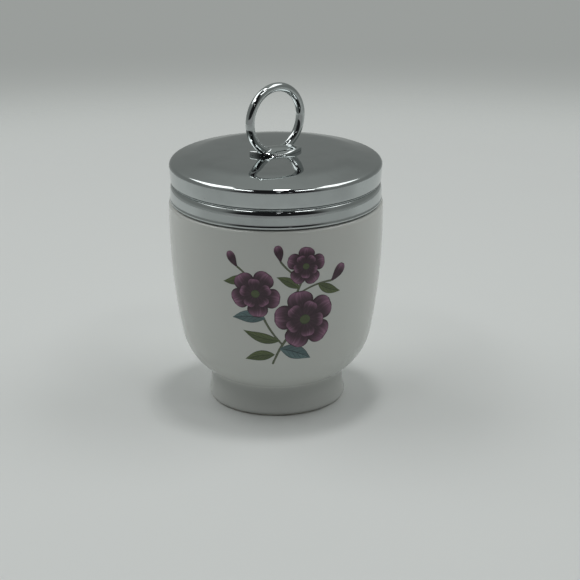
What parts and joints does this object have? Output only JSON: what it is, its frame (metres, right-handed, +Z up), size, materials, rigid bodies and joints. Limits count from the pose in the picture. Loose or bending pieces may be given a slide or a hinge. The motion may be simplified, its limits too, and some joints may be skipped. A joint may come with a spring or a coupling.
{
  "type": "porcelain egg coddler",
  "caption": "Small rounded white porcelain cup on a foot ring, closed by a domed chrome screw lid with an upright wire lifting ring.",
  "frame": {"origin": "on the surface that the cup stands on, on the cup's axis", "axes": "+Z up along the cup's axis, +X in the plane of the lifting ring with the lid closed"},
  "size_m": [0.0604, 0.0604, 0.0917],
  "materials": {
    "porcelain": "white glaze, glossy, unglazed on the foot ring's contact face",
    "gasket_rubber": "matt moulded rubber",
    "lid_chrome": "bright plated sheet and wire"
  },
  "bodies": {
    "cup": {"cup": "porcelain"},
    "gasket": {"lid_gasket": "gasket_rubber"},
    "lid": {"lid_shell": "lid_chrome", "ring_saddle": "lid_chrome", "lifting_ring": "lid_chrome"}
  },
  "joints": [
    {"name": "lid_rise", "type": "slide", "parent": "cup", "child": "gasket", "axis": [0, 0, 1], "range_m": [0, 0.0106]},
    {"name": "lid_turn", "type": "hinge", "parent": "gasket", "child": "lid", "pos_m": [0, 0, 0.0687], "axis": [0, 0, 1], "range_deg": [0, 1512]}
  ],
  "couplings": [
    {"joint": "lid_rise", "follows": "lid_turn", "m_per_rad": 0.00039789}
  ]
}
